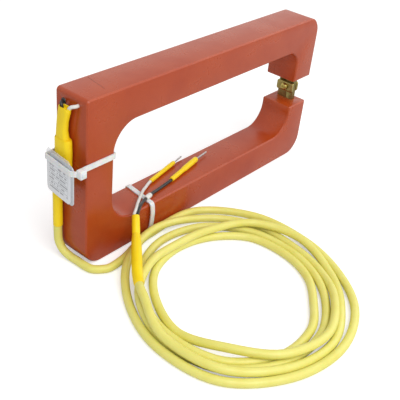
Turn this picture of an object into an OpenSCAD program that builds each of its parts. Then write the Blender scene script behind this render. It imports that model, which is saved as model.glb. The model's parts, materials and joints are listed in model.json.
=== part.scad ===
// Open-window current transformer: a flat cast-resin frame with a gap in one
// arm, closed by a screwed bridge between the ends of its strip core. A
// two-core cable leaves the opposite arm and lies coiled in front of it.
// Millimetres, +Z up. Front is -Y. The gap is at the +X end.

/* [Resin body] */
// Length of the body, end to end
body_l = 287; // [240:1:340]
// Height of the body
body_h = 140; // [120:1:180]
// Thickness of the body, front to back
body_t = 32; // [30:1:44]
// Width of the arm at the cable end
cable_arm = 26.5; // [22:0.5:34]
// Width of the arm with the gap
gap_arm = 26.6; // [22:0.1:34]
// Depth of the lower arm
lower_arm = 28; // [22:0.5:34]
// Depth of the upper arm
upper_arm = 27.6; // [22:0.1:34]
// Bevel on every edge of the casting
edge_bevel = 1; // [0.6:0.1:1.8]
// Outer corner radius, top of the cable end
r_out_tl = 3; // [2.5:0.5:12]
// Outer corner radius, bottom of the cable end
r_out_bl = 16; // [6:1:17]
// Outer corner radius, bottom of the gap end
r_out_br = 18; // [6:1:20]
// Outer corner radius, top of the gap end
r_out_tr = 15; // [6:1:20]
// Window corner radius, top of the cable end
r_win_tl = 23; // [10:1:28]
// Window corner radius, bottom of the cable end
r_win_bl = 23; // [10:1:28]
// Window corner radius, bottom of the gap end
r_win_br = 21; // [10:1:23]
// Window corner radius, top of the gap end
r_win_tr = 15; // [8:1:28]

/* [Gap] */
// Height of the gap's lower face above the base
gap_z = 54.7; // [50:0.1:62]
// Height of the gap
gap_h = 26.3; // [18:0.1:32]

/* [Core and winding] */
// Thickness of the strip stack
core_t = 5; // [3:0.5:6]
// Width of the strip
core_w = 16.5; // [12:0.5:19]
// Resin between the strip's outer side and the casting's outer side
core_cover = 5; // [4.5:0.1:7]
// Distance of the strip from the front face
core_y = 9.75; // [6.5:0.25:10.5]
// Outer bend radius of the strip at its corners
core_bend_r = 20; // [16:1:24]
// Space left between the two strip ends where they meet
core_joint = 0.3; // [0.1:0.1:1]
// Room around the core and the winding inside the casting
core_clear = 0.2; // [0.1:0.05:0.4]
// Build-up of the winding on each side of the strip
wind_t = 3; // [1:0.25:3.2]
// Length of the winding along the strip
wind_l = 68; // [40:1:74]

/* [Bridge] */
// Thickness of the inner clamp plate
plate_in_t = 3; // [1.5:0.5:4]
// Thickness of the outer clamp plate
plate_out_t = 2.5; // [1:0.5:2.5]
// Height of the clamp plates
clamp_h = 9.5; // [8:0.5:14]
// How far each clamp plate stands past the strip at its front and back
clamp_over = 0.75; // [0:0.25:2]
// Corner radius of the clamp plates
clamp_r = 2; // [0.5:0.25:3]
// Screw diameter
screw_d = 4; // [3:0.5:5]
// Diameter of the screw head
head_d = 7; // [6.5:0.25:9]
// Height of the screw head
head_h = 2.6; // [1.5:0.1:4]
// Width of the slot in the screw head
slot_w = 1; // [0.6:0.1:1.4]
// Nut size across its flats
nut_af = 7; // [6:0.5:8]
// Thickness of the nut
nut_t = 2.2; // [1.5:0.1:3.2]
// Clearance of the screw in its holes
screw_clear = 0.2; // [0.1:0.05:0.5]
// How far the screw's middle lies below the middle of the gap
screw_drop = 0.85; // [0:0.05:2]

/* [Cable end] */
// Diameter of the cable
cable_d = 6.6; // [5:0.2:7]
// Diameter of an insulated core of the cable
core_wire_d = 2.6; // [2:0.1:2.8]
// Distance of the dark core's hole from the top
dark_hole_drop = 8; // [7:0.5:14]
// Distance of the dark core's hole from the front face
dark_hole_y = 23.5; // [20:0.5:25]
// Distance of the white core's hole from the top
white_hole_drop = 6.5; // [6:0.5:14]
// Distance of the white core's hole from the front face
white_hole_y = 9; // [7.5:0.5:11]
// Depth from the end face to the middle of the cores' upright channels
channel_in = 3.3; // [3:0.1:3.6]
// Room around a core in its hole
wire_clear = 0.1; // [0.05:0.05:0.3]
// Distance of the upper flat sleeve from the top
splice_drop = 9; // [8:0.5:14]
// Length of the upper flat sleeve
splice_l = 24.5; // [18:0.5:30]
// Width of the upper flat sleeve
splice_w = 13.6; // [11:0.1:15]
// Width of the lower flat sleeve
wrap_w = 15.8; // [12:0.1:17]
// Thickness of the flat sleeves
wrap_t = 7.4; // [6:0.1:9]
// Length of the lower flat sleeve
wrap_l = 44.5; // [36:0.5:48]
// Bottom of the round sleeve on the cable
sleeve_bottom = 29; // [25:0.5:36]
// Diameter of the round sleeve on the cable
sleeve_d = 7.8; // [7:0.1:9]
// Gap between the sleeves and the end face
sleeve_off = 0.4; // [0.2:0.1:1]

/* [Label] */
// Width of the label plate
label_w = 29; // [24:0.5:32]
// Height of the label plate
label_h = 35; // [28:0.5:40]
// Thickness of the label plate, and of the sheet behind it
label_t = 0.8; // [0.5:0.1:1.5]
// Corner radius of the label
label_r = 3.5; // [1:0.5:6]
// Turn of the label away from the end face
label_turn = 7; // [0:1:10]
// How far the backing sheet stands past the label's front edge
backing_shift = 3; // [1:0.5:5]
// How far the label reaches below the middle of its tie
label_below = 27.4; // [24:0.2:30]

/* [Ties] */
// Width of the cable ties
tie_w = 4.2; // [3.6:0.1:5]
// Thickness of the cable ties
tie_t = 1.1; // [0.8:0.1:1.5]
// Clearance of the ties around what they hold
tie_clear = 0.3; // [0.2:0.1:0.8]
// Width of a tie's head
tie_head_w = 8; // [7:0.5:10]
// Height of a tie's head
tie_head_h = 9; // [7:0.5:11]
// Depth of a tie's head
tie_head_t = 6; // [5:0.5:8]
// Distance of the loose tie from the cable end
coil_tie_x = 70; // [66:0.5:90]
// How far the loose tie leans over the depth of the arm
coil_tie_lean = 5; // [0:0.5:8]

/* [Coil] */
// Middle of the coil from the cable end
coil_x = 66; // [60:1:80]
// Middle of the coil in front of the body
coil_y = 97.5; // [97:0.5:110]
// Outer radius of the coil
coil_r = 93; // [85:1:93]
// Inner radius of the coil
coil_r_in = 61; // [50:1:70]
// Height of the coil, two layers of cable
coil_h = 12.4; // [10:0.2:12.6]

/* [Tail] */
// Diameter of the lower sleeve on the cable's free end
tail_sleeve_d = 8.4; // [7.4:0.2:9]
// Diameter of the upper sleeve on the cable's free end
neck_sleeve_d = 6.4; // [6:0.1:6.6]
// Diameter of the white core's end sleeve
white_sleeve_d = 3.3; // [3:0.1:3.6]
// Diameter of the black core's end sleeve
black_sleeve_d = 3.6; // [3:0.1:3.8]
// Diameter of the marker ring on the black core
ring_d = 4.2; // [3.6:0.1:4.4]
// Diameter of the bare tinned ends
tin_d = 1.5; // [1:0.1:2]

/* [Hidden] */
$fn = 64;
eps = 0.01;
win_x0 = cable_arm;
win_x1 = body_l - gap_arm;
win_z0 = lower_arm;
win_z1 = body_h - upper_arm;
core_yc = core_y + core_w / 2;
dark_hole_z = body_h - dark_hole_drop;
white_hole_z = body_h - white_hole_drop;
splice_top = body_h - splice_drop;
splice_bottom = splice_top - splice_l;
wrap_bottom = splice_bottom - wrap_l;
label_tie_z = win_z1 - r_win_tl;             // the tie lies where the window's corner begins
label_z = label_tie_z - label_below;
leg_x = core_cover;                          // outer side of the cable end's leg
wind_z0 = (body_h - wind_l) / 2;
wind_z1 = wind_z0 + wind_l;
screw_z = gap_z + gap_h / 2 - screw_drop;    // also where the two strip ends meet
tongue_x0 = body_l - core_cover - core_t;
tongue_x1 = body_l - core_cover;
sleeve_x = -sleeve_off - wrap_t / 2;
sleeve_y = 26.8;
wrap_y1 = 27;
label_off = sleeve_off + wrap_t + 0.4;       // backing sheet clear of the sleeves
band_z0 = label_tie_z - tie_w / 2;
label_y1 = wrap_y1 + 4;
// Point of the turned label, u from its rear edge and off from the end face, seen from above
function label_point(u, off) = [-off - u * sin(label_turn), label_y1 - u * cos(label_turn)];
label_near = label_point(label_w, label_off + 2 * label_t);
backing_near = label_point(label_w + backing_shift, label_off + label_t);
head_front = min(backing_near[1], 0) - tie_clear - tie_head_t;
// The part stands with its origin at the middle of its base
mid_x = (body_l + label_near[0] - tie_clear - tie_t) / 2;
mid_y = (head_front + body_t + tie_clear + tie_head_t) / 2;

// Route of the cable from the round sleeve down to the coil
lead_route = [[sleeve_x, sleeve_y, sleeve_bottom], [sleeve_x, sleeve_y, 23], [-4, 26, 14],
    [-3, 22, 7], [-2, 15, 4], [-1.4, 8, 3.5], [-1.4, 0, 3.5], [0, -7, 3.5], [5, -12, 3.5],
    [12, -15, 3.5]];
// Route of the free end over the coil and up to the lower arm
tail_a = [10, -44, 17];
tail_b = [38, -15, 21.5];
neck_a = [39.2, -13.6, 22.9];
tail_c = [46, -6, 31];
tail_route = [[-4, -64, 15.9], [0, -57, 15.9], [5, -50, 16.2], tail_a];
// Routes of the two cores over the window's floor
white_route = [[51, -1.6, 33], [60, 5, 31.8], [74, 14, 31], [82, 18, 30.2], [92, 22, 29.9]];
white_end = [130, 30, 29.9];
white_tip = [143, 33, 29.9];
black_route = [[54, -2.4, 33], [62, 2.4, 31.8], [72, 6, 31]];
ring_end = [80, 8, 30.4];
black_run = [[80, 8, 30.4], [90, 9.6, 29.8], [107, 12, 29.9]];
black_end = [149, 20.5, 29.9];
black_tip = [166, 23, 29.9];
// Routes of the two cores from the winding to the upper sleeve
dark_lead = [[channel_in, dark_hole_y, wind_z1 + core_clear + 1], [channel_in, dark_hole_y, dark_hole_z - 4],
    [channel_in - 0.6, dark_hole_y, dark_hole_z - 1.2], [channel_in - 2.6, dark_hole_y, dark_hole_z],
    [-1.2, dark_hole_y, dark_hole_z], [-3, dark_hole_y - 1, dark_hole_z - 0.8],
    [sleeve_x, dark_hole_y - 3, splice_top]];
white_lead = [[channel_in, white_hole_y, wind_z1 + core_clear + 1], [channel_in, white_hole_y, white_hole_z - 4],
    [channel_in - 0.6, white_hole_y, white_hole_z - 1.2], [channel_in - 2.6, white_hole_y, white_hole_z],
    [-1.2, white_hole_y, white_hole_z], [-3, white_hole_y + 1, white_hole_z + 0.4],
    [sleeve_x, white_hole_y + 3.4, white_hole_z - 0.6], [sleeve_x, white_hole_y + 5, splice_top]];

// ---- helpers -------------------------------------------------------------

// From the corner of the casting, where the sizes are measured, to the origin
module seat() { translate([-mid_x, -mid_y, 0]) children(); }

// Profile standing in the X-Z plane, drawn from y0 towards the back
module upright(y0, depth) {
    translate([0, y0 + depth, 0]) rotate([90, 0, 0]) linear_extrude(depth) children();
}

function unit(v) = v / norm(v);
function side_of(t) = abs(t[2]) > 0.9 ? unit(cross(t, [1, 0, 0])) : unit(cross(t, [0, 0, 1]));
// Smooth route through the points p, with m steps between two of them
function spline_point(a, b, c, d, u) = 0.5 * (2 * b + (c - a) * u
    + (2 * a - 5 * b + 4 * c - d) * u * u + (3 * b - 3 * c + d - a) * u * u * u);
function smooth(p, m) = let (n = len(p))
    concat([for (i = [0:n - 2], k = [0:m - 1])
        spline_point(p[max(i - 1, 0)], p[i], p[i + 1], p[min(i + 2, n - 1)], k / m)], [p[n - 1]]);
// Direction at each point of a route
function heading(p) = let (n = len(p))
    [for (i = [0:n - 1]) unit(p[min(i + 1, n - 1)] - p[max(i - 1, 0)])];
// A normal at each point that turns no more than the route does
function carried(t, i = 0, s = undef) = let (
        s0 = is_undef(s) ? side_of(t[0]) : unit(s - (s * t[i]) * t[i]))
    i == len(t) - 1 ? [s0] : concat([s0], carried(t, i + 1, s0));

// Round tube of diameter d along the points p
module tube(p, d, sides = 8) {
    t = heading(p);
    s = carried(t);
    n = len(p);
    pts = [for (i = [0:n - 1], k = [0:sides - 1])
        let (a = 360 * k / sides, b = cross(t[i], s[i]))
        p[i] + d / 2 * (cos(a) * s[i] + sin(a) * b)];
    faces = concat(
        [[for (k = [0:sides - 1]) k]],
        [for (i = [0:n - 2], k = [0:sides - 1]) let (q = (k + 1) % sides)
            [i * sides + k, (i + 1) * sides + k, (i + 1) * sides + q]],
        [for (i = [0:n - 2], k = [0:sides - 1]) let (q = (k + 1) % sides)
            [i * sides + k, (i + 1) * sides + q, i * sides + q]],
        [[for (k = [sides - 1:-1:0]) (n - 1) * sides + k]]);
    polyhedron(points = pts, faces = faces, convexity = 6);
}

// Straight round piece from a to b
module rod(a, b, d) {
    v = b - a;
    translate(a) rotate([0, acos(v[2] / norm(v)), atan2(v[1], v[0])])
        cylinder(h = norm(v), d = d);
}

// Rectangle with rounded corners, its lower left corner at the origin
module rounded(w, h, r) {
    translate([r, 0]) square([w - 2 * r, h]);
    translate([0, r]) square([w, h - 2 * r]);
    for (x = [r, w - r], y = [r, h - r]) translate([x, y]) circle(r);
}

// Upright slab with its own radius at each corner. A bevel above 0 takes its
// edges off. One below 0 flares it at both faces, for cutting a window.
module bevel_slab(x0, z0, x1, z1, r_tl, r_bl, r_br, r_tr, bevel) {
    over = bevel < 0 ? 1 : 0;               // a cutter runs past both faces
    b = abs(bevel);
    e = bevel > 0 ? -b : b + over;          // edge at the face
    zm = (z0 + z1) / 2;
    xm = (x0 + x1) / 2;
    // half section across the thickness: s is how far the wall lies outwards
    module bar(len_, depth) {
        linear_extrude(len_) polygon([[-depth, -over], [e, -over], [0, b], [0, body_t - b],
            [e, body_t + over], [-depth, body_t + over]]);
    }
    module post(x, z, r) {
        translate([x, 0, z]) rotate([-90, 0, 0]) rotate_extrude()
            polygon([[0, -over], [r + e, -over], [r, b], [r, body_t - b],
                [r + e, body_t + over], [0, body_t + over]]);
    }
    post(x0 + r_tl, z1 - r_tl, r_tl);
    post(x0 + r_bl, z0 + r_bl, r_bl);
    post(x1 - r_br, z0 + r_br, r_br);
    post(x1 - r_tr, z1 - r_tr, r_tr);
    // lower and upper halves, then the two ends
    translate([x0 + r_bl, 0, z0]) rotate([0, 90, 0])
        bar(x1 - r_br - x0 - r_bl, zm - z0);
    translate([x1 - r_tr, 0, z1]) rotate([0, -90, 0])
        bar(x1 - r_tr - x0 - r_tl, z1 - zm);
    translate([x0, 0, z1 - r_tl]) rotate([0, 180, 0])
        bar(z1 - r_tl - z0 - r_bl, xm - x0);
    translate([x1, 0, z0 + r_br])
        bar(z1 - r_tr - z0 - r_br, x1 - xm);
}

// The strip core's path as a band of even thickness. grow is the room around it.
module core_shape(grow = 0, joint = 0) {
    x0 = leg_x - grow;
    x1 = tongue_x1 + grow;
    z0 = core_cover - grow;
    z1 = body_h - core_cover + grow;
    t = core_t + 2 * grow;
    r = core_bend_r + grow;
    translate([0, core_y - grow, 0]) {
        upright(0, core_w + 2 * grow) {
            translate([x0, z0 + r]) square([t, z1 - z0 - 2 * r]);
            translate([x0 + r, z0]) square([x1 - x0 - 2 * r, t]);
            translate([x0 + r, z1 - t]) square([x1 - x0 - 2 * r, t]);
            translate([x1 - t, z0 + r]) square([t, screw_z - joint / 2 - z0 - r]);
            translate([x1 - t, screw_z + joint / 2]) square([t, z1 - r - screw_z - joint / 2]);
        }
        for (c = [[x0 + r, z0 + r, 180], [x1 - r, z0 + r, 270], [x1 - r, z1 - r, 0], [x0 + r, z1 - r, 90]])
            translate([c[0], core_w + 2 * grow, c[1]]) rotate([90, 0, 0]) rotate([0, 0, c[2]])
                rotate_extrude(angle = 90) translate([r - t, 0]) square([t, core_w + 2 * grow]);
    }
}

// Winding around the cable end's leg, as a solid block
module winding_block(grow = 0) {
    translate([leg_x - wind_t - grow, core_y - wind_t - grow, wind_z0 - grow])
        linear_extrude(wind_l + 2 * grow)
            rounded(core_t + 2 * wind_t + 2 * grow, core_w + 2 * wind_t + 2 * grow, 1.5);
}

// Upright channel of a core and its hole to the end face
module wire_channel(y, z) {
    d = core_wire_d + 2 * wire_clear;
    translate([channel_in, y, wind_z1]) cylinder(h = z - wind_z1, d = d);
    translate([-1, y, z]) rotate([0, 90, 0]) cylinder(h = channel_in + 1, d = d);
    translate([channel_in, y, z]) sphere(d = d);
}

// ---- casting, core and winding -------------------------------------------

module resin_body() {
    color([0.78, 0.32, 0.16]) seat() difference() {
        bevel_slab(0, 0, body_l, body_h, r_out_tl, r_out_bl, r_out_br, r_out_tr, edge_bevel);
        bevel_slab(win_x0, win_z0, win_x1, win_z1, r_win_tl, r_win_bl, r_win_br, r_win_tr, -edge_bevel);
        // gap through the arm, its four mouths bevelled
        translate([win_x1 - 1, 0, 0]) rotate([90, 0, 90]) linear_extrude(gap_arm + 2) polygon([
            [-1, gap_z - edge_bevel - 1], [edge_bevel, gap_z], [body_t - edge_bevel, gap_z],
            [body_t + 1, gap_z - edge_bevel - 1], [body_t + 1, gap_z + gap_h + edge_bevel + 1],
            [body_t - edge_bevel, gap_z + gap_h], [edge_bevel, gap_z + gap_h],
            [-1, gap_z + gap_h + edge_bevel + 1]]);
        core_shape(core_clear);
        winding_block(core_clear);
        wire_channel(dark_hole_y, dark_hole_z);
        wire_channel(white_hole_y, white_hole_z);
    }
}

module core() {
    color([0.68, 0.62, 0.34]) seat() difference() {
        core_shape(0, core_joint);
        // each strip end is notched around the screw
        translate([tongue_x0 - 1, core_yc, screw_z]) rotate([0, 90, 0])
            cylinder(h = core_t + 2, d = screw_d + 2 * screw_clear);
    }
}

module secondary_winding() {
    color([0.72, 0.42, 0.24]) seat() difference() {
        winding_block();
        translate([leg_x - core_clear, core_y - core_clear, wind_z0 - 1])
            cube([core_t + 2 * core_clear, core_w + 2 * core_clear, wind_l + 2]);
    }
}

// ---- bridge --------------------------------------------------------------

// Clamp plate with the screw's hole, from x towards the gap end
module clamp_plate(x, t) {
    w = core_w + 2 * clamp_over;
    translate([x, 0, 0]) difference() {
        translate([0, core_yc - w / 2, screw_z - clamp_h / 2]) rotate([90, 0, 90])
            linear_extrude(t) rounded(w, clamp_h, clamp_r);
        translate([-1, core_yc, screw_z]) rotate([0, 90, 0])
            cylinder(h = t + 2, d = screw_d + 2 * screw_clear);
    }
}

module clamp_plate_inner() {
    color([0.72, 0.64, 0.34]) seat() clamp_plate(tongue_x0 - plate_in_t, plate_in_t);
}

module clamp_plate_outer() {
    color([0.72, 0.64, 0.34]) seat() clamp_plate(tongue_x1, plate_out_t);
}

module clamp_screw() {
    x = tongue_x0 - plate_in_t;
    shank = plate_in_t + core_t + plate_out_t + nut_t;
    color([0.76, 0.70, 0.44]) seat() translate([x, core_yc, screw_z]) rotate([0, 90, 0]) {
        cylinder(h = shank, d = screw_d);
        difference() {
            rotate([180, 0, 0]) rotate_extrude() polygon([[0, 0], [head_d / 2, 0],
                [head_d / 2, head_h * 0.45], [head_d / 2 - 0.5, head_h * 0.78],
                [head_d / 2 - 1.3, head_h], [0, head_h]]);
            translate([-slot_w / 2, -head_d, -head_h - 1])
                cube([slot_w, 2 * head_d, 1 + head_h * 0.45]);
        }
    }
}

module clamp_nut() {
    color([0.74, 0.68, 0.42]) seat() translate([tongue_x1 + plate_out_t, core_yc, screw_z])
        rotate([0, 90, 0]) difference() {
            cylinder(h = nut_t, d = nut_af / cos(30), $fn = 6);
            translate([0, 0, -1]) cylinder(h = nut_t + 2, d = screw_d + screw_clear / 2);
        }
}

// ---- cable end -----------------------------------------------------------

// Flat oval slab between two heights, from y0 with the given width
module oval(y0, w, z, h, t = wrap_t) {
    translate([sleeve_x - t / 2, y0, z]) linear_extrude(h) rounded(t, w, t / 2 - eps, $fn = 32);
}

module splice_sleeve() {
    color([0.96, 0.85, 0.16]) seat() hull() {
        oval(wrap_y1 - 1 - splice_w, splice_w, splice_bottom, 14);
        oval(wrap_y1 - 3.6 - splice_w + 1.4, splice_w - 1.4, splice_top - 1, 1, wrap_t - 1);
    }
}

module wrap_sleeve() {
    color([0.95, 0.83, 0.15]) seat() hull() {
        oval(wrap_y1 - wrap_w, wrap_w, splice_bottom - 32, 32);
        oval(wrap_y1 - 10, 10, wrap_bottom, 1);
    }
}

module cable_sleeve() {
    color([0.97, 0.86, 0.16]) seat()
        translate([sleeve_x, sleeve_y - (sleeve_d - wrap_t) / 2, sleeve_bottom])
            cylinder(h = wrap_bottom - sleeve_bottom, d = wrap_t);
}

module lead_core_white() { color([0.92, 0.91, 0.88]) seat() tube(white_lead, core_wire_d); }

module lead_core_dark() { color([0.16, 0.15, 0.14]) seat() tube(dark_lead, core_wire_d); }

// ---- label and ties ------------------------------------------------------

// A sheet of the label, out from the sleeves by off and forward by shift
module sheet(off, shift, h) {
    translate([-off, label_y1, label_z]) rotate([0, 0, -label_turn])
        translate([0, -label_w - shift, 0]) rotate([90, 0, 90]) mirror([0, 0, 1])
            linear_extrude(label_t) rounded(label_w, h, label_r);
}

module name_plate() {
    color([0.90, 0.90, 0.89]) seat() sheet(label_off + label_t, 0, label_h);
}

module plate_backing() {
    color([0.80, 0.81, 0.82]) seat() sheet(label_off, backing_shift, label_h - 3);
}

// What the label's tie runs round, seen from above
module tie_inside() {
    polygon([label_near, backing_near, [-4, 0], [win_x0, 0], [win_x0, body_t], [1, body_t],
        label_point(0, label_off + 2 * label_t)]);
}

module plate_tie() {
    color([0.93, 0.93, 0.91]) seat() {
        translate([0, 0, band_z0]) linear_extrude(tie_w) difference() {
            offset(delta = tie_clear + tie_t) tie_inside();
            offset(delta = tie_clear) tie_inside();
        }
        // head at the front corner, where the strap turns onto the front face
        translate([backing_near[0] + 0.6, head_front, label_tie_z - tie_head_h / 2])
            cube([tie_head_w, tie_head_t, tie_head_h]);
    }
}

module coil_tie() {
    color([0.93, 0.93, 0.91]) seat() {
        y0 = -tie_clear - tie_t;
        y1 = body_t + tie_clear;
        z1 = win_z0 + tie_clear + tie_t;
        // leans along the arm from the front to the back
        multmatrix([[1, coil_tie_lean / body_t, 0, coil_tie_x - coil_tie_lean / 2], [0, 1, 0, 0], [0, 0, 1, 0]])
            rotate([90, 0, 90]) {
                linear_extrude(tie_w) difference() {
                    translate([y0, 0.4]) square([y1 + tie_t - y0, z1 - 0.4]);
                    translate([y0 + tie_t, 0]) square([y1 - y0 - tie_t, z1 - tie_t]);
                }
                // head behind the arm
                translate([y1, 0.4, tie_w / 2 - tie_head_w / 2]) cube([tie_head_t, tie_head_h - 2, tie_head_w]);
            }
    }
}

// ---- cable ---------------------------------------------------------------

module cable_lead() { color([0.93, 0.90, 0.52]) seat() tube(smooth(lead_route, 2), cable_d, 10); }

module cable_coil() {
    color([0.92, 0.89, 0.50]) seat() translate([coil_x, -coil_y, 0]) rotate_extrude($fn = 96)
        translate([coil_r_in, 0]) rounded(coil_r - coil_r_in, coil_h, cable_d / 2 - 0.1, $fn = 32);
}

module cable_tail() { color([0.93, 0.90, 0.52]) seat() tube(smooth(tail_route, 2), cable_d, 10); }

module tail_sleeve_lower() { color([0.97, 0.86, 0.14]) seat() rod(tail_a, tail_b, tail_sleeve_d); }

module tail_sleeve_upper() { color([0.98, 0.87, 0.15]) seat() rod(neck_a, tail_c, neck_sleeve_d); }

module tail_core_white() {
    color([0.92, 0.91, 0.88]) seat() tube(smooth(concat([tail_c + [-0.9, 1.1, 0.2]], white_route), 2), core_wire_d);
}

module tail_core_black() {
    color([0.17, 0.17, 0.15]) seat() {
        tube(smooth(concat([tail_c + [1.1, -0.8, 0.2]], black_route), 2), core_wire_d);
        tube(smooth(black_run, 2), core_wire_d);
    }
}

module marker_ring() {
    color([0.94, 0.94, 0.92]) seat() rod(black_route[2], ring_end, ring_d);
}

module core_sleeve_white() { color([0.97, 0.87, 0.16]) seat() rod(white_route[4], white_end, white_sleeve_d); }

module core_sleeve_black() { color([0.97, 0.87, 0.16]) seat() rod(black_run[2], black_end, black_sleeve_d); }

module tinned_end_white() { color([0.74, 0.72, 0.70]) seat() rod(white_end, white_tip, tin_d); }

module tinned_end_black() { color([0.74, 0.72, 0.70]) seat() rod(black_end, black_tip, tin_d); }

resin_body();
core();
secondary_winding();
clamp_plate_inner();
clamp_plate_outer();
clamp_screw();
clamp_nut();
lead_core_white();
lead_core_dark();
splice_sleeve();
wrap_sleeve();
cable_sleeve();
name_plate();
plate_backing();
plate_tie();
coil_tie();
cable_lead();
cable_coil();
cable_tail();
tail_sleeve_lower();
tail_sleeve_upper();
tail_core_white();
tail_core_black();
marker_ring();
core_sleeve_white();
core_sleeve_black();
tinned_end_white();
tinned_end_black();
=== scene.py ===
"""Window current transformer: cast resin frame with a screwed core bridge in its gap,
sleeved cable end, label on its tie, and the coiled two-core cable in front of it."""
import json
import math

import bmesh
import bpy
from mathutils import Matrix, Vector

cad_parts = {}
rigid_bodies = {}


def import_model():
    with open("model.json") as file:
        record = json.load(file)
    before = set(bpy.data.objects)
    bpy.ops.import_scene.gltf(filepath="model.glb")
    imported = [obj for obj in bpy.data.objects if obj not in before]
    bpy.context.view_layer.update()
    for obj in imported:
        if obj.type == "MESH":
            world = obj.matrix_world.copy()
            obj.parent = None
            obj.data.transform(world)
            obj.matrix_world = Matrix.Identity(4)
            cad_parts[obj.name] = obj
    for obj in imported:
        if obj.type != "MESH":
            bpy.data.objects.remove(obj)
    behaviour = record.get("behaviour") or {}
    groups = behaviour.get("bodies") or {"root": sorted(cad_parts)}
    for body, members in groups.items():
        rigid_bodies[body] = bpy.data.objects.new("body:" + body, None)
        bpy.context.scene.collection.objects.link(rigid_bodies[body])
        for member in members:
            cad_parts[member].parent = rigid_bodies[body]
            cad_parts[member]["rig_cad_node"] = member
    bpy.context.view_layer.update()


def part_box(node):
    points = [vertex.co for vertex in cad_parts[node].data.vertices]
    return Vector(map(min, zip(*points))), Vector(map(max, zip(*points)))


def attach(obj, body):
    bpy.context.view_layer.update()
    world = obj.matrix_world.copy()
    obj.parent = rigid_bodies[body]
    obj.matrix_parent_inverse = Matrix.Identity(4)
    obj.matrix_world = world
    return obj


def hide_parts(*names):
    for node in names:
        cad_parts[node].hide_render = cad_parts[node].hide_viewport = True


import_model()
MM = 0.001
CORNER, FAR_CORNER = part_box("resin_body")  # left front lower and right rear upper corner
BODY_T, BODY_H = ((FAR_CORNER - CORNER) / MM).yz  # the casting's thickness and height


def at(x, y, z):
    """Point measured in millimetres from the casting's corner."""
    return CORNER + Vector((x, y, z)) * MM


# ---- camera ------------------------------------------------------------------

EYE = at(-295.8, -323.6, 353.8)
LOOK = Vector((0.66980, 0.50382, -0.54547))
ROLL = math.radians(6.41)
LENS = 65.4
SENSOR = 36


def make_camera():
    """Camera in front of the cable end and above it, looking down."""
    data = bpy.data.cameras.new("camera")
    data.lens = LENS
    data.sensor_width = SENSOR
    data.clip_start = 0.01
    camera = bpy.data.objects.new("camera", data)
    turn = LOOK.to_track_quat("-Z", "Y").to_matrix() @ Matrix.Rotation(ROLL, 3, "Z")
    camera.matrix_world = Matrix.Translation(EYE) @ turn.to_4x4()
    bpy.context.scene.collection.objects.link(camera)
    bpy.context.scene.camera = camera


# ---- colours and node helpers ------------------------------------------------


def srgb(red, green, blue):
    """Colour written as on a screen, 0 to 255, for a shader's socket."""
    return tuple(
        (c / 12.92 if c <= 0.04045 else ((c + 0.055) / 1.055) ** 2.4)
        for c in (red / 255, green / 255, blue / 255)
    ) + (1.0,)


class Tree:
    """Short names for building the nodes of a material or a group."""

    def __init__(self, tree):
        self.tree = tree

    def add(self, kind, inputs=None, **facts):
        """New node, with its own facts and with values or links on its inputs."""
        node = self.tree.nodes.new(kind)
        for name, value in facts.items():
            setattr(node, name, value)
        for name, value in (inputs or {}).items():
            self.set(node, name, value)
        return node

    def set(self, node, name, value):
        """Give an input a constant, or a link where value is a socket."""
        if isinstance(value, bpy.types.NodeSocket):
            self.tree.links.new(value, node.inputs[name])
        else:
            node.inputs[name].default_value = value

    def place(self, scale=(1, 1, 1)):
        """Object coordinates, scaled."""
        source = self.add("ShaderNodeTexCoord").outputs["Object"]
        mapping = self.add("ShaderNodeMapping", {"Vector": source, "Scale": scale})
        return mapping.outputs["Vector"]

    def noise(self, vector, scale, detail=3.0, rough=0.55):
        """Soft random value between 0 and 1."""
        node = self.add(
            "ShaderNodeTexNoise",
            {"Vector": vector, "Scale": scale, "Detail": detail, "Roughness": rough},
        )
        return node.outputs["Fac"]

    def wave(self, vector, scale, distortion, axis):
        """Even bands along an axis."""
        inputs = {"Vector": vector, "Scale": scale, "Distortion": distortion}
        return self.add("ShaderNodeTexWave", inputs, bands_direction=axis).outputs["Fac"]

    def span(self, value, low, high, out_low=0.0, out_high=1.0):
        """Value between low and high, spread over another range and held inside it."""
        inputs = {"Value": value, "From Min": low, "From Max": high}
        inputs.update({"To Min": out_low, "To Max": out_high})
        return self.add("ShaderNodeMapRange", inputs).outputs["Result"]

    def math(self, how, a, b=None):
        """Result of one operation on a, or on a and b."""
        inputs = {0: a} if b is None else {0: a, 1: b}
        return self.add("ShaderNodeMath", inputs, operation=how).outputs[0]

    def times(self, *factors):
        """Product of all the factors."""
        product = factors[0]
        for factor in factors[1:]:
            product = self.math("MULTIPLY", product, factor)
        return product

    def mix(self, factor, a, b):
        """Colour between a and b."""
        node = self.add("ShaderNodeMix", data_type="RGBA")
        self.set(node, 0, factor)
        self.set(node, 6, a)
        self.set(node, 7, b)
        return node.outputs[2]

    def group(self, tree, **inputs):
        """Shader group, placed with its own values."""
        node = self.add("ShaderNodeGroup", node_tree=tree)
        for name, value in inputs.items():
            self.set(node, name.replace("_", " "), value)
        return node

    def bump(self, height, strength, distance):
        """Normal of a surface with small heights."""
        inputs = {"Height": height, "Strength": strength, "Distance": distance}
        return self.add("ShaderNodeBump", inputs).outputs["Normal"]


def new_group(name, inputs, outputs):
    """Empty shader group with sockets given as (name, kind, value) and (name, kind)."""
    tree = bpy.data.node_groups.new(name, "ShaderNodeTree")
    new_socket = tree.interface.new_socket
    for label, kind, value in inputs:
        socket = new_socket(label, in_out="INPUT", socket_type="NodeSocket" + kind)
        if value is not None:
            socket.default_value = value
    for label, kind in outputs:
        new_socket(label, in_out="OUTPUT", socket_type="NodeSocket" + kind)
    t = Tree(tree)
    return t, t.add("NodeGroupInput").outputs, t.add("NodeGroupOutput")


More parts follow.
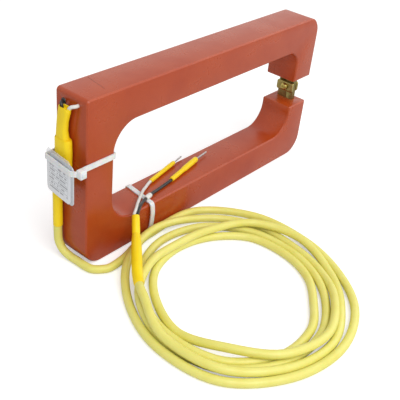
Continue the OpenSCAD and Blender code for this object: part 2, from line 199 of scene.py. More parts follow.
def mottle_group():
    """Two tones of one colour in soft clouds and fine grains."""
    t, given, made = new_group(
        "mottle",
        [
            ("Vector", "Vector", None),
            ("Tone", "Color", (0.5, 0.5, 0.5, 1)),
            ("Shade", "Color", (0.4, 0.4, 0.4, 1)),
            ("Cloud", "Float", 40.0),
            ("Grain", "Float", 900.0),
        ],
        [("Color", "Color"), ("Clouds", "Float"), ("Grains", "Float")],
    )
    clouds = t.noise(given["Vector"], given["Cloud"], 4.0, 0.6)
    grains = t.noise(given["Vector"], given["Grain"], 2.0, 0.6)
    cloud_part = t.span(clouds, 0.3, 0.7, 0, 0.7)
    amount = t.math("ADD", cloud_part, t.span(grains, 0.35, 0.65, 0, 0.3))
    t.set(made, "Color", t.mix(amount, given["Tone"], given["Shade"]))
    t.set(made, "Clouds", clouds)
    t.set(made, "Grains", grains)
    return t.tree


def edge_highlight_group():
    """Mask of the outer edges, broken up by a noise, for a painted highlight along them."""
    t, given, made = new_group(
        "painted_edge_highlight",
        [("Vector", "Vector", None), ("Radius", "Float", 0.001), ("Break up", "Float", 300.0)],
        [("Mask", "Float")],
    )
    rounded = t.add("ShaderNodeBevel", {"Radius": given["Radius"]}, samples=6).outputs["Normal"]
    plain = t.add("ShaderNodeNewGeometry").outputs["Normal"]
    facing = t.add("ShaderNodeVectorMath", {0: rounded, 1: plain}, operation="DOT_PRODUCT")
    edge = t.span(facing.outputs["Value"], 0.985, 0.86)
    broken = t.span(t.noise(given["Vector"], given["Break up"], 3.0), 0.3, 0.6, 0.45, 1.0)
    t.set(made, "Mask", t.times(edge, broken))
    return t.tree


def scuff_group():
    """Fine scratches in one direction, as a height."""
    t, given, made = new_group(
        "scuffs",
        [("Vector", "Vector", None), ("Density", "Float", 60.0), ("Stretch", "Vector", (1, 1, 12))],
        [("Height", "Float")],
    )
    vectors = {0: given["Vector"], 1: given["Stretch"]}
    drawn = t.add("ShaderNodeVectorMath", vectors, operation="MULTIPLY").outputs[0]
    t.set(made, "Height", t.noise(drawn, given["Density"], 5.0, 0.7))
    return t.tree


MOTTLE = mottle_group()
# Mask for the painted highlight along edges
EDGES = edge_highlight_group()
SCUFFS = scuff_group()


def finish(name, roughness, metallic=0.0, **plain):
    """New material: its tree, its shader and itself. plain holds constants of the shader."""
    mat = bpy.data.materials.new(name)
    mat.use_nodes = True
    shader = mat.node_tree.nodes["Principled BSDF"]
    shader.inputs["Roughness"].default_value = roughness
    shader.inputs["Metallic"].default_value = metallic
    for label, value in plain.items():
        socket = label.replace("_", " ").title().replace("Ior", "IOR")
        shader.inputs[socket].default_value = value
    return Tree(mat.node_tree), shader, mat


def two_tones(t, spot, tone, shade, cloud, grain):
    """Sockets of a mottle of two colours, with the sizes of its clouds and grains."""
    group = t.group(
        MOTTLE, Vector=spot, Tone=srgb(*tone), Shade=srgb(*shade), Cloud=cloud, Grain=grain
    )
    return group.outputs


# ---- materials ---------------------------------------------------------------


def cast_resin():
    """Brick-red cast resin: flow clouds, fine grain, pinholes and a painted highlight along the
    edges.
    """
    t, shader, mat = finish("cast_resin", 0.3, specular_ior_level=0.45)
    spot = t.place()
    tones = two_tones(t, spot, (180, 74, 24), (160, 55, 16), 22.0, 1400.0)
    # Painted highlight: the edges lightened towards a lighter red.
    edge = t.group(EDGES, Vector=spot, Radius=0.0011, Break_up=120.0).outputs["Mask"]
    resin_with_edge_highlight = t.mix(t.times(edge, 0.42), tones["Color"], srgb(214, 118, 78))
    pits = t.add("ShaderNodeTexVoronoi", {"Vector": spot, "Scale": 260.0}).outputs["Distance"]
    sparse = t.span(t.noise(spot, 75.0, 1.0), 0.62, 0.68)
    pit = t.times(t.span(pits, 0.16, 0.08), sparse)
    t.set(shader, "Base Color", t.mix(t.times(pit, 0.55), resin_with_edge_highlight, srgb(110, 34, 18)))
    t.set(shader, "Roughness", t.span(tones["Clouds"], 0.3, 0.7, 0.22, 0.36))
    scuff = t.group(SCUFFS, Vector=spot, Density=90.0, Stretch=(0.4, 3.0, 5.0)).outputs["Height"]
    height = t.math("ADD", t.times(tones["Grains"], 0.3), t.times(scuff, 0.5))
    height = t.math("SUBTRACT", height, t.times(pit, 3.0))
    t.set(shader, "Normal", t.bump(height, 0.16, 0.0003))
    return mat


def soft_plastic(
    name, tone, shade, roughness, cloud=120.0, dent=0.08, stretch=(1, 1, 1), **plain
):
    """Jacket or sleeve plastic: two close tones, dull streaks and a soft uneven skin."""
    t, shader, mat = finish(name, roughness, **plain)
    spot = t.place(stretch)
    tones = two_tones(t, spot, tone, shade, cloud, 2500.0)
    clouds = tones["Clouds"]
    t.set(shader, "Base Color", tones["Color"])
    t.set(shader, "Roughness", t.span(clouds, 0.3, 0.7, roughness - 0.08, roughness + 0.1))
    height = t.math("ADD", t.times(clouds, 2.0), t.times(tones["Grains"], 0.4))
    t.set(shader, "Normal", t.bump(height, dent, 0.0006))
    return mat


def tie_nylon():
    """Milky nylon with the fine cross ribs of a tie's strap."""
    t, shader, mat = finish("tie_nylon", 0.38, subsurface_weight=0.25, subsurface_scale=0.002)
    spot = t.place()
    tones = two_tones(t, spot, (236, 237, 236), (214, 217, 218), 160.0, 1800.0)
    t.set(shader, "Base Color", tones["Color"])
    ribs = t.wave(spot, 260.0, 0.0, "X")
    height = t.math("ADD", t.times(ribs, 0.4), tones["Clouds"])
    t.set(shader, "Normal", t.bump(height, 0.12, 0.0004))
    return mat


def worked_metal(name, tone, shade, roughness, stretch):
    """Plated or rolled metal: drawn scratches, duller patches and a painted highlight along the
    edges.
    """
    t, shader, mat = finish(name, roughness, metallic=1.0)
    spot = t.place()
    tones = two_tones(t, spot, tone, shade, 220.0, 3000.0)
    # Painted highlight: the edges lightened towards a lighter tone.
    edge = t.group(EDGES, Vector=spot, Radius=0.0004, Break_up=900.0).outputs["Mask"]
    edge_highlight_colour = srgb(*(min(255, c + 35) for c in tone))
    t.set(shader, "Base Color", t.mix(t.times(edge, 0.6), tones["Color"], edge_highlight_colour))
    scuff = t.group(SCUFFS, Vector=spot, Density=260.0, Stretch=stretch).outputs["Height"]
    t.set(shader, "Roughness", t.span(scuff, 0.3, 0.7, roughness - 0.12, roughness + 0.12))
    t.set(shader, "Normal", t.bump(scuff, 0.25, 0.0001))
    return mat


def laminated_steel():
    """Strip core: close grooves between the layers with painted shade in them, and a faint oxide
    tint.
    """
    t, shader, mat = finish("core_steel", 0.4, metallic=1.0)
    spot = t.place()
    tones = two_tones(t, spot, (168, 154, 98), (122, 110, 64), 300.0, 3000.0)
    layers = t.wave(spot, 480.0, 0.3, "X")
    # Painted shade: darker colour in the grooves between the layers.
    groove_shade = t.span(layers, 0.0, 0.35, 0.5, 0.0)
    t.set(shader, "Base Color", t.mix(groove_shade, tones["Color"], srgb(70, 60, 34)))
    t.set(shader, "Normal", t.bump(layers, 0.4, 0.0002))
    return mat


def ruled_label():
    """Label face left without words: a ruled form with plain grey bars, a clear upper strip."""
    row_h, column_w, cell_w = 0.0036, 0.0092, 0.0013
    margin_y, margin_z, clear_h = 0.003, 0.0035, 0.0105
    soft = 0.0002
    t, shader, mat = finish("label_white", 0.22, coat_weight=0.5, coat_roughness=0.1)
    spot = t.place()
    tones = two_tones(t, spot, (232, 234, 237), (218, 221, 226), 90.0, 2600.0)
    axes = t.add("ShaderNodeSeparateXYZ", {"Vector": spot}).outputs
    low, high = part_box("name_plate")

    def between(axis, start, end):
        """Mask of the label between two places along an axis."""
        opens = t.span(axes[axis], start, start + soft)
        return t.times(opens, t.span(axes[axis], end, end - soft))

    form = t.times(
        between("Y", low.y + margin_y, high.y - margin_y),
        between("Z", low.z + margin_z, high.z - margin_z),
    )
    in_row = t.math("FRACT", t.times(axes["Z"], 1 / row_h))
    from_left = t.math("SUBTRACT", axes["Y"], low.y + margin_y)
    in_column = t.math("FRACT", t.times(from_left, 1 / column_w))
    lines = t.math("MAXIMUM", t.span(in_row, 0.10, 0.06), t.span(in_column, 0.035, 0.02))

    row = t.math("FLOOR", t.times(axes["Z"], 1 / row_h))
    cell = t.math("FLOOR", t.times(axes["Y"], 1 / cell_w))
    cells = t.add("ShaderNodeCombineXYZ", {"X": cell, "Y": row}).outputs["Vector"]
    chance = t.add("ShaderNodeTexWhiteNoise", {"Vector": cells}).outputs["Value"]
    filled = t.math("GREATER_THAN", chance, 0.38)
    bar = t.times(t.span(in_row, 0.36, 0.40), t.span(in_row, 0.76, 0.72))

    ink = t.math("MAXIMUM", t.times(lines, form, 0.8), t.times(bar, filled, form, 0.6))
    t.set(shader, "Base Color", t.mix(ink, tones["Color"], srgb(92, 96, 104)))
    strip = high.z - clear_h
    t.set(shader, "Alpha", t.span(axes["Z"], strip, strip + 0.0003, 1.0, 0.35))
    t.set(shader, "Normal", t.bump(tones["Clouds"], 0.05, 0.0006))
    return mat


def copper_turns():
    """Close turns of copper wire with painted shade in the grooves between them, for the winding
    inside the casting.
    """
    t, shader, mat = finish("copper_winding", 0.3, metallic=0.9)
    spot = t.place()
    turns = t.wave(spot, 500.0, 0.4, "Z")
    tones = two_tones(t, spot, (205, 120, 72), (160, 82, 44), 200.0, 2000.0)
    # Painted shade: darker colour in the grooves between the turns.
    groove_shade = t.span(turns, 0.0, 0.3, 0.6, 0.0)
    t.set(shader, "Base Color", t.mix(groove_shade, tones["Color"], srgb(70, 30, 14)))
    t.set(shader, "Normal", t.bump(turns, 0.6, 0.0004))
    return mat


def scribed_resin():
    """Dark colour of a scribed line in the casting."""
    t, shader, mat = finish("scribed_resin", 0.7)
    tones = two_tones(t, t.place(), (104, 52, 40), (74, 34, 28), 400.0, 2600.0)
    t.set(shader, "Base Color", tones["Color"])
    t.set(shader, "Normal", t.bump(tones["Grains"], 0.3, 0.0002))
    return mat


MAT = {
    "cast_resin": cast_resin(),
    "core_steel": laminated_steel(),
    "copper_winding": copper_turns(),
    "clamp_brass": worked_metal(
        "clamp_brass", (184, 168, 106), (136, 122, 68), 0.34, (1, 10, 1)
    ),
    "screw_zinc": worked_metal(
        "screw_zinc", (208, 190, 112), (168, 150, 80), 0.28, (8, 1, 1)
    ),
    "insulation_white": soft_plastic(
        "insulation_white", (236, 235, 230), (216, 215, 208), 0.36
    ),
    "insulation_black": soft_plastic("insulation_black", (44, 45, 44), (30, 30, 30), 0.34),
    "sleeve_yellow": soft_plastic(
        "sleeve_yellow", (252, 224, 30), (244, 208, 18), 0.36,
        cloud=90.0, dent=0.2, stretch=(1, 1, 0.4), specular_ior_level=0.3,
    ),
    "cable_jacket": soft_plastic(
        "cable_jacket", (234, 228, 128), (224, 216, 104), 0.38,
        cloud=60.0, dent=0.1, subsurface_weight=0.08, subsurface_scale=0.003,
    ),
    "label_white": ruled_label(),
    "label_backing": soft_plastic("label_backing", (206, 210, 214), (188, 192, 198), 0.28),
    "tie_nylon": tie_nylon(),
    "tinned_wire": worked_metal(
        "tinned_wire", (205, 203, 200), (160, 158, 156), 0.32, (1, 1, 6)
    ),
}


# ---- pieces: shared makers ---------------------------------------------------

MERGE_DIST = 2e-6
WIRE_STEPS = 8  # between two points of a cord's route
BENT_STEPS = 6  # between two points of a bent sleeve


def own(piece, slot, *nodes):
    """Give a finished piece its finish, its body and the solids that it stands for."""
    piece.data.materials.clear()
    piece.data.materials.append(MAT[slot])
    if nodes:
        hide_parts(*nodes)
    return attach(piece, "root")


def piece_of(bm, name, slot, *nodes, angle=35.0):
    """Mesh piece from a bmesh, smooth except across edges sharper than angle."""
    mesh = bpy.data.meshes.new(name)
    bm.to_mesh(mesh)
    bm.free()
    mesh.shade_smooth()
    mesh.set_sharp_from_angle(angle=math.radians(angle))
    piece = bpy.data.objects.new(name, mesh)
    bpy.context.scene.collection.objects.link(piece)
    return own(piece, slot, *nodes)


def cad_object(node):
    """Object that holds a CAD node's mesh."""
    for obj in bpy.data.objects:
        if obj.get("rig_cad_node") == node:
            return obj
    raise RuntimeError("no node " + node)


def copy_of(node):
    """Merged copy of a CAD node's mesh."""
    bm = bmesh.new()
    bm.from_mesh(cad_object(node).data)
    bmesh.ops.remove_doubles(bm, verts=bm.verts, dist=MERGE_DIST)
    return bm


def edges_of(verts):
    """Edges of the vertices, each once and in the same order on every run."""
    return list(dict.fromkeys(e for v in verts for e in v.link_edges))


def round_edges(bm, edges, width, segments):
    """Bevel the edges by width in millimetres."""
    bmesh.ops.bevel(
        bm, geom=edges, offset=width * MM, offset_type="OFFSET", segments=segments,
        profile=0.5, affect="EDGES", material=-1, clamp_overlap=True,
    )


def eased(bm, width, segments=2, sharper=25.0):
    """Round the copy's edges that are sharper than that angle."""
    flat = math.radians(1)
    bmesh.ops.dissolve_limit(bm, angle_limit=flat, verts=bm.verts, edges=bm.edges)
    limit = math.radians(sharper)
    sharp = [e for e in bm.edges if e.is_manifold and e.calc_face_angle(0) > limit]
    round_edges(bm, sharp, width, segments)
    return bm


def block(bm, low, high, ease, segments=3):
    """Eased block between two corners."""
    place = Matrix.LocRotScale((high + low) / 2, None, high - low)
    made = bmesh.ops.create_cube(bm, size=1.0, matrix=place)
    round_edges(bm, edges_of(made["verts"]), ease, segments)


def smooth_route(points, steps):
    """Smooth line through the points, with that many steps between two of them."""
    line = []
    for i in range(len(points) - 1):
        a, b = points[max(i - 1, 0)], points[i]
        c, d = points[i + 1], points[min(i + 2, len(points) - 1)]
        for k in range(steps):
            u = k / steps
            line.append(
                0.5 * (2 * b + (c - a) * u + (2 * a - 5 * b + 4 * c - d) * u * u
                       + (3 * b - 3 * c + d - a) * u * u * u)
            )
    return line + [points[-1]]


def wire(name, points, diameter, slot, *nodes, sides=6):
    """Round cord as one open curve along millimetre points."""
    radius = diameter / 2 * MM
    line = smooth_route([at(*p) for p in points], WIRE_STEPS)
    for place in line:
        place.z = max(place.z, radius)  # it lies on the floor at the lowest
    data = bpy.data.curves.new(name, "CURVE")
    data.dimensions = "3D"
    data.bevel_depth = radius
    data.bevel_resolution = sides
    data.use_fill_caps = True
    spline = data.splines.new("POLY")
    spline.points.add(len(line) - 1)
    for point, place in zip(spline.points, line):
        point.co = (*place, 1.0)
    spline.use_smooth = True
    piece = bpy.data.objects.new(name, data)
    bpy.context.scene.collection.objects.link(piece)
    return own(piece, slot, *nodes)


# ---- cords -------------------------------------------------------------------

CABLE_D = 6.6
CORE_D = 2.6
LEAD_ROUTE = [
    (-4.1, 26.8, 29), (-4.1, 26.8, 23), (-4, 26, 14), (-3, 22, 7), (-2, 15, 4),
    (-1.4, 8, 3.5), (-1.4, 0, 3.5), (0, -7, 3.5), (5, -12, 3.5), (12, -15, 3.5),
    (28, -13.5, 3.4), (46, -8.5, 3.3),
]
COIL_X, COIL_Y = 66, -97.5
STATIONS = 12
# Each turn's distance from the coil's middle, station by station, clockwise from the back
TURNS = [
    [92.5, 103.5, 98.5, 88, 84, 87, 90, 93, 96.5, 90.3, 85.4, 87],
    [89, 92, 85, 73.4, 70.6, 71.2, 77.5, 78.3, 71.5, 70, 65.4, 65.2],
    [64.2, 64.5, 65.5, 60, 57, 56, 64.4, 73.2, 78.8, 76.6, 74.5, 76],
    [79.8, 80, 74, 66.7, 63.9, 65.4, 72.3, 79.8, 85.6, 83.4, 78.5, 69.5],
    [62.5, 66, 77.5, 80.6, 77.3, 76.6, 82.8, 86.4, 91, 85.3],
]
# Where a turn climbs over others: height of its middle by turn and station
RAISED = {
    (0, 11): 7.6, (1, 0): 9.6, (1, 5): 7.9, (1, 6): 8.7, (1, 7): 10.1, (1, 8): 9.0,
    (3, 10): 9.1, (3, 11): 10.1, (4, 0): 9.9, (4, 1): 10.0, (4, 2): 10.4, (4, 3): 8.9,
    (4, 7): 5.0, (4, 8): 8.6, (4, 9): 10.2,
}
TAIL_ROUTE = [(-4, -64, 15.9), (0, -57, 15.9), (5, -50, 16.2), (10, -44, 17)]


def coil_route():
    """Points of the coil's turns, one after another."""
    route = []
    for turn, reaches in enumerate(TURNS):
        for station, reach in enumerate(reaches):
            angle = math.radians(90 - station * 360 / STATIONS)
            x, y = COIL_X + reach * math.cos(angle), COIL_Y + reach * math.sin(angle)
            route.append((x, y, RAISED.get((turn, station), CABLE_D / 2)))
    return route


def make_cable():
    """The whole cable: down the end face, round the corner, coiled, and up to its tail."""
    route = LEAD_ROUTE + coil_route() + TAIL_ROUTE
    nodes = ("cable_lead", "cable_coil", "cable_tail")
    return wire("supply_cable", route, CABLE_D, "cable_jacket", *nodes)


# Where the cable's two cores part, and their ways over the window's floor
WHITE_ROUTE = [
    (45.1, -4.9, 31.2), (51, -1.6, 33), (60, 5, 31.8), (74, 14, 31),
    (82, 18, 30.2), (92, 22, 29.9), (110, 25.8, 29.9), (129, 29.8, 29.9),
]
BLACK_ROUTE = [
    (47.1, -6.8, 31.2), (54, -2.4, 33), (62, 2.4, 31.8), (72, 6, 31), (80, 8, 30.4),
    (90, 9.6, 29.8), (107, 12, 29.9), (127, 16, 29.9), (148, 20.3, 29.9),
]


def make_tail_wire(colour, route):
    """One core of the free end, from the fork to its cuff."""
    return wire(
        "tail_wire_" + colour, route, CORE_D, "insulation_" + colour,
        "tail_core_" + colour, sides=3,
    )


# ---- casting, core and bridge ------------------------------------------------


def make_scribed_line():
    """Short scribed line across the top near the cable end."""
    start, end = at(23, 8, BODY_H), at(26.6, 29, BODY_H)
    middle, run = (start + end) / 2, end - start
    half_w, half_l, deep, proud = 0.17, run.length / MM / 2, 0.3, 0.03
    low, high = Vector((-half_w, -half_l, -deep)), Vector((half_w, half_l, proud))
    bm = bmesh.new()
    block(bm, low * MM, high * MM, 0.02, 1)
    place = Matrix.Translation(middle) @ Matrix.Rotation(math.atan2(-run.x, run.y), 4, "Z")
    bmesh.ops.transform(bm, matrix=place, verts=bm.verts)
    line = piece_of(bm, "scribed_line", "cast_resin")
    line.data.materials[0] = scribed_resin()


def make_casting():
    """Cast frame with its edges eased, and the line scribed in its top."""
    make_scribed_line()
    body = eased(copy_of("resin_body"), 0.35, 2, 30.0)
    piece_of(body, "casting", "cast_resin", "resin_body", angle=28.0)


def make_strip_core():
    """Strip core, with the edges of its layers standing free where the gap shows them."""
    bm = copy_of("core")
    low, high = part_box("core")
    layers, stack, proud, slit = 10, 5.0 * MM, 0.08 * MM, 0.1 * MM
    pitch = stack / layers
    half = 0.44 * pitch
    foot, joint, head = (at(0, 0, z).z for z in (53.7, 67, 82))
    for layer in range(layers):
        x = high.x - stack + (layer + 0.5) * pitch
        for z0, z1 in ((foot, joint - slit), (joint + slit, head)):
            near = Vector((x - half, low.y - proud, z0))
            far = Vector((x + half, high.y + proud, z1))
            block(bm, near, far, 0.05, 1)
    piece_of(bm, "strip_core", "core_steel", "core")


def make_bridge():
    """Core, winding, and the two plates with their screw and nut."""
    make_strip_core()
    piece_of(copy_of("secondary_winding"), "taped_winding", "copper_winding", "secondary_winding")
    for node, name, slot, width, segments in (
        ("clamp_plate_inner", "inner_clamp", "clamp_brass", 0.3, 2),
        ("clamp_plate_outer", "outer_clamp", "clamp_brass", 0.3, 2),
        ("clamp_screw", "slotted_screw", "screw_zinc", 0.12, 1),
        ("clamp_nut", "hex_nut", "screw_zinc", 0.25, 2),
    ):
        piece_of(eased(copy_of(node), width, segments), name, slot, node)


# ---- sleeves and wire ends ---------------------------------------------------

WIRE_IN = 3.3  # depth of the cores' upright channels behind the end face


def hoop(bm, place, thick, width=None, sides=32):
    """Ring of edges: a circle, or a flat oval where width is more than thick."""
    made = bmesh.ops.create_circle(bm, cap_ends=False, segments=sides, radius=thick / 2 * MM)
    spread = ((width or thick) - thick) / 2 * MM
    for sign in (1, -1):
        half = [v for v in made["verts"] if v.co.y * sign > 1e-9]
        bmesh.ops.translate(bm, verts=half, vec=(0, sign * spread, 0))
    bmesh.ops.transform(bm, matrix=place, verts=made["verts"])
    return edges_of(made["verts"])


def bridge(bm, hoops):
    """Join the hoops one after another."""
    for one, two in zip(hoops, hoops[1:]):
        bmesh.ops.bridge_loops(bm, edges=one + two)


def close(bm):
    """Close the open ends and turn the faces outwards."""
    bmesh.ops.holes_fill(bm, edges=[e for e in bm.edges if e.is_boundary], sides=0)
    bmesh.ops.recalc_face_normals(bm, faces=bm.faces)
    return bm


def skin(bm, hoops):
    """Closed skin over the hoops."""
    bridge(bm, hoops)
    return close(bm)


def along(a, b):
    """Placement with its z axis from a to b."""
    direction = (b - a).to_track_quat("Z", "Y").to_matrix().to_4x4()
    return Matrix.Translation(a) @ direction


def make_flat_sleeve(name, node, stations):
    """Shrunk oval sleeve: stations are height, front edge, rear edge and thickness."""
    low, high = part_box(node)
    x = (low.x + high.x) / 2 / MM - CORNER.x / MM
    bm = bmesh.new()
    hoops = [
        hoop(bm, Matrix.Translation(at(x, (y0 + y1) / 2, z)), thick, y1 - y0)
        for z, y0, y1, thick in stations
    ]
    return piece_of(skin(bm, hoops), name, "sleeve_yellow", node, angle=50.0)


def make_round_sleeve(name, node, slot, a, b, profile):
    """Round piece from a to b: profile is (share of the way, diameter)."""
    a, b = at(*a), at(*b)
    place = along(a, b)
    bm = bmesh.new()
    span = (b - a).length
    hoops = [
        hoop(bm, place @ Matrix.Translation((0, 0, share * span)), d, sides=24)
        for share, d in profile
    ]
    return piece_of(skin(bm, hoops), name, slot, node, angle=50.0)


def make_bent_sleeve(name, node, slot, points, profile):
    """Round piece along a bent line: profile is (point number on the smooth line, diameter)."""
    line = smooth_route([at(*p) for p in points], BENT_STEPS)
    bm = bmesh.new()
    hoops = []
    for i, d in profile:
        ahead, behind = line[min(i + 1, len(line) - 1)], line[max(i - 1, 0)]
        hoops.append(hoop(bm, along(line[i], line[i] + (ahead - behind)), d, sides=24))
    return piece_of(skin(bm, hoops), name, slot, node, angle=50.0)


def make_seal_and_hole_shade(name, y, z, across):
    """Bead of black potting where a core leaves the end face; its black is also painted shade for
    the dark hole there.
    """
    place = Matrix.Translation(at(0, y, z)) @ Matrix.Rotation(math.radians(-90), 4, "Y")
    bm = bmesh.new()
    hoops = [
        hoop(bm, place @ Matrix.Translation((0, 0, rise * MM)), d, sides=24)
        for rise, d in (
            (-0.3, across), (0.1, across), (0.5, across - 0.5), (0.75, across - 1.2),
            (0.8, CORE_D - 0.2),
        )
    ]
    return piece_of(skin(bm, hoops), name, "insulation_black", angle=60.0)


def make_cable_sleeves():
    """The three yellow sleeves down the end face."""
    make_flat_sleeve("splice_cover", "splice_sleeve", [
        (129.0, 13.4, 21.8, 3.6), (130.8, 13.0, 22.2, 4.4), (131.0, 12.4, 22.7, 5.2),
        (130.0, 12.2, 23.0, 5.6), (126.0, 13.2, 23.9, 5.4), (120.0, 14.9, 24.9, 5.2),
        (113.0, 15.7, 25.6, 5.4), (108.0, 14.8, 26.0, 5.8), (105.0, 14.0, 26.2, 6.0),
    ])
    make_flat_sleeve("splice_wrap", "wrap_sleeve", [
        (105.4, 13.4, 26.2, 5.6), (106.4, 12.8, 26.6, 6.4), (105.4, 12.2, 27.0, 7.0),
        (96.0, 11.8, 27.0, 7.2), (84.0, 12.2, 27.0, 7.3), (74.0, 13.6, 26.9, 7.4),
        (68.0, 15.6, 27.0, 7.4), (62.6, 18.0, 27.0, 7.4), (62.0, 18.6, 26.6, 6.8),
    ])
    low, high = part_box("cable_sleeve")
    x, y = ((low + high) / 2 - CORNER).xy / MM
    bm = bmesh.new()
    hoops = [
        hoop(bm, Matrix.Translation(at(x, y, z)), d)
        for z, d in (
            (62, 7.2), (60, 7.4), (50, 7.3), (40, 7.4), (29.8, 7.4), (29.2, 7.3), (29, 7.0),
            (29.3, CABLE_D - 0.4),
        )
    ]
    piece_of(skin(bm, hoops), "cable_cover", "sleeve_yellow", "cable_sleeve", angle=50.0)


def make_lead_wires():
    """The two cores, from the winding up their channels and over into the first sleeve."""
    for name, node, slot, y, z, points in (
        ("lead_wire_white", "lead_core_white", "insulation_white", 9, 133.5, [
            (-1.4, 9, 133.5), (-3.0, 9.8, 133.4), (-3.9, 11.6, 132.6), (-4.0, 13.6, 130.6),
            (-4.0, 14.6, 127),
        ]),
        ("lead_wire_dark", "lead_core_dark", "insulation_black", 23.5, 132, [
            (-1.2, 23.5, 132), (-2.6, 22.8, 131.9), (-3.8, 21.4, 131.0), (-4.0, 20.6, 127),
        ]),
    ):
        inside = [
            (WIRE_IN, y, 110), (WIRE_IN, y, z - 4), (WIRE_IN - 0.6, y, z - 1.2),
            (WIRE_IN - 2.6, y, z),
        ]
        route = inside + points
        hoops = (len(route) - 1) * BENT_STEPS + 1
        make_bent_sleeve(name, node, slot, route, [(i, CORE_D) for i in range(hoops)])


def make_strands(name, node, a, b, count=7):
    """Bare end: six tinned strands laid in a long twist round a seventh."""
    steps, lay, strand_d, twist = 8, 0.5 * MM, 0.5, 0.5
    a, b = at(*a), at(*b)
    place = along(a, b)
    span = (b - a).length
    bm = bmesh.new()
    for strand in range(count):
        reach = lay if strand else 0
        hoops = []
        for step in range(steps + 1):
            angle = math.tau * strand / (count - 1) + step * twist
            offset = (reach * math.cos(angle), reach * math.sin(angle), span * step / steps)
            hoops.append(hoop(bm, place @ Matrix.Translation(offset), strand_d, sides=8))
        bridge(bm, hoops)
    return piece_of(close(bm), name, "tinned_wire", node, angle=50.0)


def make_tail_end():
    """Sleeves, cuffs and bare ends of the free end, sorted by the cord that carries them."""
    lower = make_bent_sleeve(
        "tail_cover_lower", "tail_sleeve_lower", "sleeve_yellow",
        [(2, -54.3, 16), (5, -50, 16.2), (10, -44, 17), (24, -29.5, 19.2), (38, -15, 21.5)],
        [
            (1, 6.3), (0, 7.0), (1, 7.6), (3, 7.8), (6, 7.9), (12, 8.1), (16, 8.3),
            (19, 8.2), (21, 7.8), (22, 7.2), (23, 6.8), (24, 6.2),
        ])
    upper = make_round_sleeve(
        "tail_cover_upper", "tail_sleeve_upper", "sleeve_yellow",
        (37.6, -15.4, 21.4), (46, -6, 31),
        [(0, 6.2), (0.2, 6.4), (0.6, 6.3), (0.93, 6.1), (0.99, 5.8), (1.0, 5.2), (0.97, 4.4)])
    ring = make_round_sleeve(
        "wire_marker", "marker_ring", "insulation_white", (68.6, 5.0, 31.3), (76, 7, 30.7),
        [(0.0, 2.8), (0.0, 3.9), (0.06, 4.2), (0.94, 4.2), (1.0, 3.9), (1.0, 2.8)])
    white_cuff = make_round_sleeve(
        "wire_cuff_white", "core_sleeve_white", "sleeve_yellow",
        (92, 22, 30.1), (130, 30, 30.1),
        [
            (0.0, 2.8), (0.0, 3.5), (0.03, 3.8), (0.3, 3.7), (0.5, 3.75), (0.8, 3.9),
            (0.97, 3.7), (1.0, 3.2), (0.99, 2.0),
        ])
    black_cuff = make_round_sleeve(
        "wire_cuff_black", "core_sleeve_black", "sleeve_yellow",
        (107, 12, 30.2), (149, 20.5, 30.7),
        [
            (0.0, 2.8), (0.0, 3.8), (0.03, 4.1), (0.2, 4.2), (0.42, 4.3), (0.47, 4.5),
            (0.5, 5.0), (0.54, 5.2), (0.8, 5.2), (0.96, 5.1), (0.99, 4.6), (1.0, 4.0),
            (0.98, 2.4),
        ])
    white_tip = make_strands(
        "bare_strands_white", "tinned_end_white", (129, 29.8, 30), (143, 33, 30))
    black_tip = make_strands(
        "bare_strands_black", "tinned_end_black", (148, 20.3, 30.5), (166, 23, 30.5))
    return (lower, upper), (white_cuff, white_tip), (ring, black_cuff, black_tip)


# ---- label and ties ----------------------------------------------------------

TIE_W = 4.2
TIE_T = 1.1
ARM_W = 26.5  # width of the casting's left arm
TIE_OFF = 1.4  # from the casting to the outside of the label's tie


def make_label():
    """The label's face and its backing."""
    piece_of(eased(copy_of("name_plate"), 0.2), "label_plate", "label_white", "name_plate")
    backing = eased(copy_of("plate_backing"), 0.2)
    piece_of(backing, "label_back", "label_backing", "plate_backing")


def strap(path, across, corner, closed):
    """Tie strap through the path's points, with rounded folds, thickened inwards."""
    bm = bmesh.new()
    row = [bm.verts.new(p) for p in path]
    pairs = list(zip(row, row[1:])) + ([(row[-1], row[0])] if closed else [])
    edges = [bm.edges.new(p) for p in pairs]
    made = bmesh.ops.extrude_edge_only(bm, edges=edges)["geom"]
    swept = [g for g in made if isinstance(g, bmesh.types.BMVert)]
    bmesh.ops.translate(bm, verts=swept, vec=across)
    round_edges(bm, [e for e in bm.edges if len(e.link_faces) == 2], corner, 5)
    bmesh.ops.recalc_face_normals(bm, faces=bm.faces)
    bmesh.ops.solidify(bm, geom=bm.faces, thickness=TIE_T * MM)
    return bm


def make_label_tie():
    """Closed tie round the arm, the sleeves and the label, its small head at the front edge."""
    low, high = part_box("plate_tie")
    near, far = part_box("name_plate")
    mid_z = (low.z + high.z) / 2
    rear_y = BODY_T + TIE_OFF
    path = [
        Vector((near.x - 1.2 * MM, near.y - 0.4 * MM, 0)),
        Vector((near.x + 1.2 * MM, CORNER.y - 2.6 * MM, 0)),
        at(-3, -TIE_OFF, 0), at(ARM_W - 1.2, -TIE_OFF, 0), at(ARM_W + TIE_OFF, -0.6, 0),
        at(ARM_W + TIE_OFF, rear_y, 0), at(1, rear_y, 0),
        Vector((far.x - 2.0 * MM, far.y + 0.9 * MM, 0)),
    ]
    for p in path:
        p.z = mid_z - TIE_W / 2 * MM
    bm = strap(path, Vector((0, 0, TIE_W * MM)), 1.0, True)
    head = Vector((near.x + 2.2 * MM, CORNER.y - 6.6 * MM, mid_z - 3.3 * MM))
    block(bm, head, head + Vector((5.6, 5.0, 6.6)) * MM, 0.6)
    pawl = head + Vector((1.0, -0.4, 1.5)) * MM
    block(bm, pawl, pawl + Vector((3.6, 0.8, 3.6)) * MM, 0.3, 2)
    piece_of(bm, "label_tie", "tie_nylon", "plate_tie", angle=40.0)


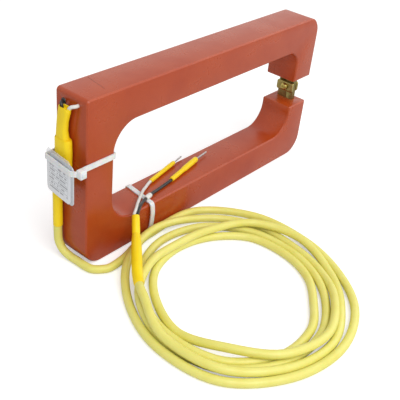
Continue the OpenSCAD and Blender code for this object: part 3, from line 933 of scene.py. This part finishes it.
def make_loose_tie():
    """Open tie over the lower arm: up its front, over the window's floor and down its back."""
    low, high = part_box("coil_tie")
    lean = 5 / BODY_T * MM  # sideways for each millimetre from front to back
    x0 = low.x + 0.4 * MM
    rear_y, top = BODY_T + 0.9, 29.2
    places = [
        (-1.3, 2.2), (-2.6, 12), (-3.4, 21), (-1.8, 29.6), (8, 29.4), (20, top),
        (rear_y, top), (rear_y, 1.8),
    ]
    path = [
        Vector((x0 + (y + 1.4) * lean, CORNER.y + y * MM, up * MM)) for y, up in places
    ]
    bm = strap(path, Vector((TIE_W * MM, 0, 0)), 2.6, False)
    head = Vector((high.x - 8.2 * MM, CORNER.y + (BODY_T + 0.6) * MM, 0.8 * MM))
    block(bm, head, head + Vector((6.4, 5.2, 5.8)) * MM, 0.6)
    piece_of(bm, "loose_tie", "tie_nylon", "coil_tie", angle=40.0)


# ---- stage -------------------------------------------------------------------

FLOOR_HALF = 12.0
FLOOR_GLOW = 0.42  # in the camera's own rays only
AMBIENT = 0.55
AIM = Vector((0, 0, 0.05))


def make_world():
    """White surroundings, which light the object at a plain level."""
    world = bpy.data.worlds.new("studio")
    bpy.context.scene.world = world
    world.use_nodes = True
    t = Tree(world.node_tree)
    back = world.node_tree.nodes["Background"]
    rays = t.add("ShaderNodeLightPath").outputs
    mirrored = t.math("MAXIMUM", rays["Is Glossy Ray"], rays["Is Transmission Ray"])
    seen = t.math("MAXIMUM", rays["Is Camera Ray"], mirrored)
    t.set(back, "Color", (1, 1, 1, 1))
    t.set(back, "Strength", t.span(seen, 0, 1, AMBIENT, 1.0))


def make_floor():
    """Pale floor that the object stands on."""
    bm = bmesh.new()
    bmesh.ops.create_grid(bm, x_segments=1, y_segments=1, size=FLOOR_HALF)
    mesh = bpy.data.meshes.new("floor")
    bm.to_mesh(mesh)
    bm.free()
    floor = bpy.data.objects.new("floor", mesh)
    bpy.context.scene.collection.objects.link(floor)
    t, shader, mat = finish("pale_floor", 0.9, specular_ior_level=0.0)
    t.set(shader, "Base Color", (0.82, 0.82, 0.82, 1))
    t.set(shader, "Emission Color", (1, 1, 1, 1))
    seen = t.add("ShaderNodeLightPath").outputs["Is Camera Ray"]
    t.set(shader, "Emission Strength", t.span(seen, 0, 1, 0.0, FLOOR_GLOW))
    mesh.materials.append(mat)


def make_lamps():
    """A large soft lamp from the front left and a weaker one from the right."""
    for name, place, size, power in (
        ("key_light", Vector((-0.35, -0.75, 1.0)), 1.1, 8.9),
        ("fill_light", Vector((0.9, -0.5, 0.8)), 1.2, 4.0),
    ):
        data = bpy.data.lights.new(name, "AREA")
        data.shape = "DISK"
        data.size = size
        data.energy = power
        lamp = bpy.data.objects.new(name, data)
        lamp.location = place
        lamp.rotation_euler = (AIM - place).to_track_quat("-Z", "Y").to_euler()
        bpy.context.scene.collection.objects.link(lamp)


# ---- the whole object --------------------------------------------------------

make_camera()
cable = make_cable()
white_tail = make_tail_wire("white", WHITE_ROUTE)
black_tail = make_tail_wire("black", BLACK_ROUTE)
make_casting()
make_bridge()
# Black bead at the dark core's exit: potting, and painted shade of its hole.
make_seal_and_hole_shade("core_seal", 23.5, 132, 4.6)
make_cable_sleeves()
make_lead_wires()
cable_parts, white_parts, black_parts = make_tail_end()
make_label()
make_label_tie()
make_loose_tie()
make_world()
make_floor()
make_lamps()
bpy.context.scene.view_settings.view_transform = "Standard"
